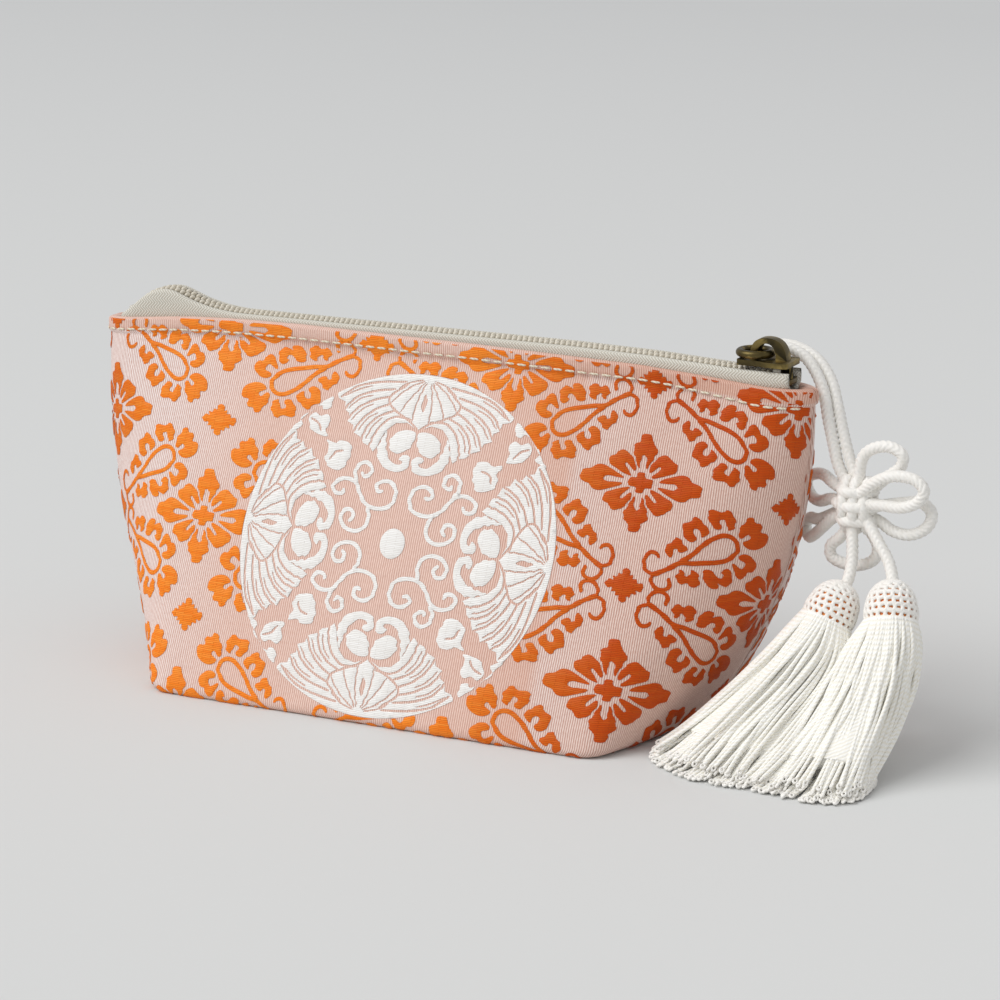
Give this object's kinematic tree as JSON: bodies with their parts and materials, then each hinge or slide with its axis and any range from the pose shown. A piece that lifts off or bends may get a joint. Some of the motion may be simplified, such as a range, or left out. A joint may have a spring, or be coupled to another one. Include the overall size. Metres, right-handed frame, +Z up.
{
  "type": "zipped brocade pouch",
  "caption": "Boat-shaped cloth pouch with a flat boxed base, a coil zip along its mouth, and a braided cord with a petal knot and tassels on the zip slider.",
  "frame": {"origin": "middle of the flat base, on the surface that the pouch stands on", "axes": "+X along the mouth towards the closed zip's slider, front panel at -Y, +Z up"},
  "size_m": [0.2347, 0.096, 0.0985],
  "materials": {
    "brocade": "woven satin floats in orange and white on a pale pink ribbed ground",
    "lining": "plain weave lining",
    "zip_tape": "herringbone woven tape, off-white",
    "zip_coil": "coiled monofilament, beige",
    "zip_stop": "small crimped stops",
    "antique_brass": "darkened brass with rubbed bright edges",
    "white_cord": "braided and twisted white rayon cord",
    "tassel_core": "wound thread under the white net"
  },
  "bodies": {
    "pouch": {"brocade_shell": "brocade", "lining": "lining", "zip_tape_front": "zip_tape", "zip_tape_back": "zip_tape", "zip_coil_front": "zip_coil", "zip_coil_back": "zip_coil", "closed_end_stop": "zip_stop", "top_stop_front": "zip_stop", "top_stop_back": "zip_stop"},
    "slider": {"slider_body": "antique_brass"},
    "ring": {"pull_ring": "antique_brass"},
    "charm": {"cord_run_left": "white_cord", "cord_run_right": "white_cord", "knot": "white_cord", "petal_left_upper": "white_cord", "petal_left_lower": "white_cord", "petal_top": "white_cord", "petal_right": "white_cord", "petal_right_lower": "white_cord", "petal_bottom": "white_cord", "drop_cord_left": "white_cord", "drop_cord_right": "white_cord", "tassel_cap_left": "white_cord", "tassel_cap_right": "white_cord", "tassel_core_left": "tassel_core", "tassel_core_right": "tassel_core", "tassel_skirt_left": "white_cord", "tassel_skirt_right": "white_cord"}
  },
  "joints": [
    {"name": "slider_slide", "type": "slide", "parent": "pouch", "child": "slider", "axis": [-1, 0, 0], "range_m": [0, 0.142], "deforming": ["zip_coil_front", "zip_coil_back"]},
    {"name": "ring_flip", "type": "hinge", "parent": "slider", "child": "ring", "pos_m": [0.0886, 0, 0.09455], "axis": [0, 1, 0], "range_deg": [0, 100]},
    {"name": "charm_swing", "type": "hinge", "parent": "slider", "child": "charm", "pos_m": [0.0886, 0, 0.09455], "axis": [0, -1, 0], "range_deg": [0, 150], "deforming": ["cord_run_left", "cord_run_right", "knot", "petal_left_upper", "petal_left_lower", "petal_top", "petal_right", "petal_right_lower", "petal_bottom", "drop_cord_left", "drop_cord_right", "tassel_cap_left", "tassel_cap_right", "tassel_core_left", "tassel_core_right", "tassel_skirt_left", "tassel_skirt_right"]}
  ],
  "couplings": [
    {"joint": "charm_swing", "follows": "slider_slide", "rad_per_m": 18.4}
  ]
}
